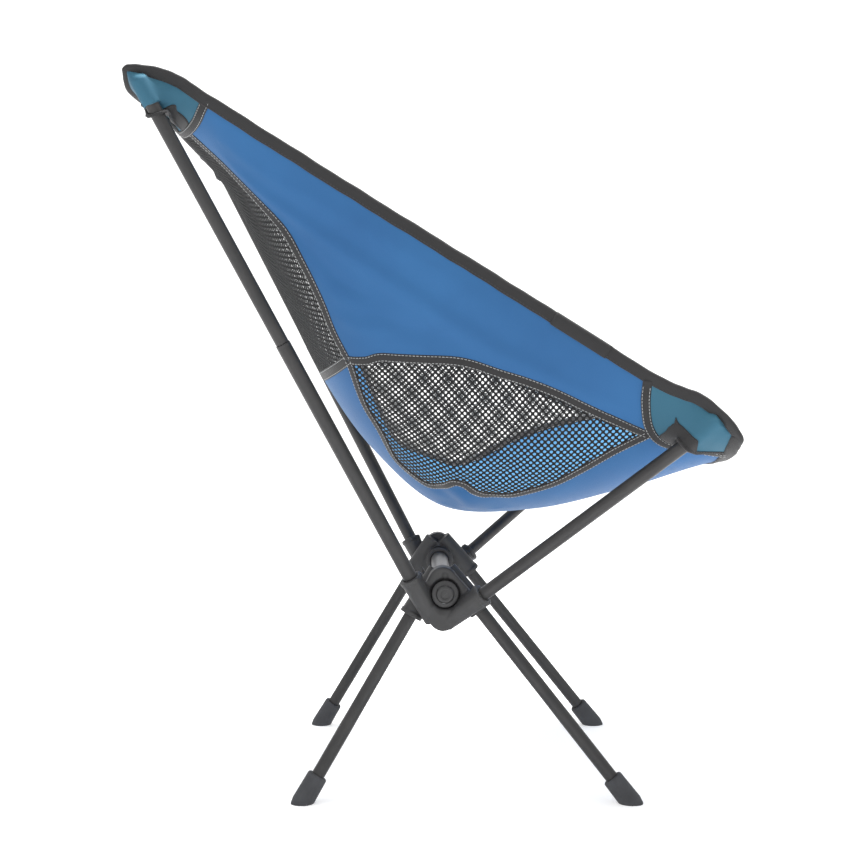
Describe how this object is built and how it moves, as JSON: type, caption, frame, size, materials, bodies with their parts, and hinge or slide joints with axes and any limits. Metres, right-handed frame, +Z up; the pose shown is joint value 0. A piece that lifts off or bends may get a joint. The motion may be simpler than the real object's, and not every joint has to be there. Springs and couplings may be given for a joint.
{
  "type": "folding camp chair",
  "caption": "Low ultralight camping chair: shock-corded pole frame with moulded hubs and a crossbar, and a bucket seat of woven fabric and net hung on the pole tips.",
  "frame": {"origin": "on the floor, below the middle of the outline", "axes": "+X the way a sitter faces, +Y the sitter's left, +Z up"},
  "size_m": [0.5195, 0.5124, 0.6491],
  "materials": {
    "hub_plastic": "satin moulded, fine texture",
    "dark_plastic": "satin moulded",
    "steel": "satin",
    "bare_aluminium": "satin",
    "anodised_tube": "satin dark anodised aluminium",
    "cord": "woven sheath over elastic",
    "foot_rubber": "matte",
    "webbing": "flat woven tape",
    "net": "open knitted mesh with round holes",
    "pocket_fabric": "ripstop-backed plain weave",
    "woven_fabric": "plain weave"
  },
  "bodies": {
    "frame": {"crossbar": "bare_aluminium", "hub_left": "hub_plastic", "hub_right": "hub_plastic", "hub_bolt_left": "steel", "hub_bolt_right": "steel", "hub_cap_left": "dark_plastic", "hub_cap_right": "dark_plastic", "rear_leg_cord_left": "cord", "rear_leg_cord_right": "cord", "front_leg_cord_left": "cord", "front_leg_cord_right": "cord", "front_pole_cord_left": "cord", "front_pole_cord_right": "cord", "back_pole_lower_cord_left": "cord", "back_pole_lower_cord_right": "cord", "seat_panel": "woven_fabric", "back_mesh": "net", "side_panel_left": "woven_fabric", "side_panel_right": "woven_fabric", "side_mesh_left": "net", "side_mesh_right": "net", "side_binding_left": "webbing", "side_binding_right": "webbing", "top_binding": "webbing", "front_binding": "webbing"},
    "rear_leg_left": {"rear_leg_tube_left": "anodised_tube", "rear_foot_left": "foot_rubber"},
    "front_leg_left": {"front_leg_tube_left": "anodised_tube", "front_foot_left": "foot_rubber"},
    "front_pole_left": {"front_pole_left": "anodised_tube", "front_pole_tip_left": "dark_plastic", "front_corner_patch_left": "pocket_fabric", "front_corner_pocket_left": "pocket_fabric", "front_corner_binding_left": "webbing"},
    "back_lower_left": {"back_pole_lower_left": "anodised_tube", "back_pole_ferrule_left": "bare_aluminium", "back_pole_upper_cord_left": "cord"},
    "back_upper_left": {"back_pole_upper_left": "anodised_tube", "back_pole_tip_left": "dark_plastic", "back_corner_patch_left": "pocket_fabric", "back_corner_pocket_left": "pocket_fabric", "back_corner_binding_left": "webbing"},
    "rear_leg_right": {"rear_leg_tube_right": "anodised_tube", "rear_foot_right": "foot_rubber"},
    "front_leg_right": {"front_leg_tube_right": "anodised_tube", "front_foot_right": "foot_rubber"},
    "front_pole_right": {"front_pole_right": "anodised_tube", "front_pole_tip_right": "dark_plastic", "front_corner_patch_right": "pocket_fabric", "front_corner_pocket_right": "pocket_fabric", "front_corner_binding_right": "webbing"},
    "back_lower_right": {"back_pole_lower_right": "anodised_tube", "back_pole_ferrule_right": "bare_aluminium", "back_pole_upper_cord_right": "cord"},
    "back_upper_right": {"back_pole_upper_right": "anodised_tube", "back_pole_tip_right": "dark_plastic", "back_corner_patch_right": "pocket_fabric", "back_corner_pocket_right": "pocket_fabric", "back_corner_binding_right": "webbing"}
  },
  "joints": [
    {"name": "rear_leg_left_pull", "type": "slide", "parent": "frame", "child": "rear_leg_left", "axis": [-0.5066, 0.1172, -0.8542], "range_m": [0, 0.045], "stiffness_N_per_m": 150, "springref_m": -0.06},
    {"name": "front_leg_left_pull", "type": "slide", "parent": "frame", "child": "front_leg_left", "axis": [0.62, 0.1066, -0.7773], "range_m": [0, 0.045], "stiffness_N_per_m": 150, "springref_m": -0.06},
    {"name": "front_pole_left_pull", "type": "slide", "parent": "frame", "child": "front_pole_left", "axis": [0.7422, 0.2885, 0.605], "range_m": [0, 0.045], "stiffness_N_per_m": 150, "springref_m": -0.06},
    {"name": "back_lower_left_pull", "type": "slide", "parent": "frame", "child": "back_lower_left", "axis": [-0.4571, 0.2003, 0.8666], "range_m": [0, 0.045], "stiffness_N_per_m": 150, "springref_m": -0.06},
    {"name": "back_upper_left_pull", "type": "slide", "parent": "back_lower_left", "child": "back_upper_left", "axis": [-0.4571, 0.2003, 0.8666], "range_m": [0, 0.045], "stiffness_N_per_m": 150, "springref_m": -0.06},
    {"name": "rear_leg_right_pull", "type": "slide", "parent": "frame", "child": "rear_leg_right", "axis": [-0.5066, -0.1172, -0.8542], "range_m": [0, 0.045], "stiffness_N_per_m": 150, "springref_m": -0.06},
    {"name": "front_leg_right_pull", "type": "slide", "parent": "frame", "child": "front_leg_right", "axis": [0.62, -0.1066, -0.7773], "range_m": [0, 0.045], "stiffness_N_per_m": 150, "springref_m": -0.06},
    {"name": "front_pole_right_pull", "type": "slide", "parent": "frame", "child": "front_pole_right", "axis": [0.7422, -0.2885, 0.605], "range_m": [0, 0.045], "stiffness_N_per_m": 150, "springref_m": -0.06},
    {"name": "back_lower_right_pull", "type": "slide", "parent": "frame", "child": "back_lower_right", "axis": [-0.4571, -0.2003, 0.8666], "range_m": [0, 0.045], "stiffness_N_per_m": 150, "springref_m": -0.06},
    {"name": "back_upper_right_pull", "type": "slide", "parent": "back_lower_right", "child": "back_upper_right", "axis": [-0.4571, -0.2003, 0.8666], "range_m": [0, 0.045], "stiffness_N_per_m": 150, "springref_m": -0.06}
  ]
}
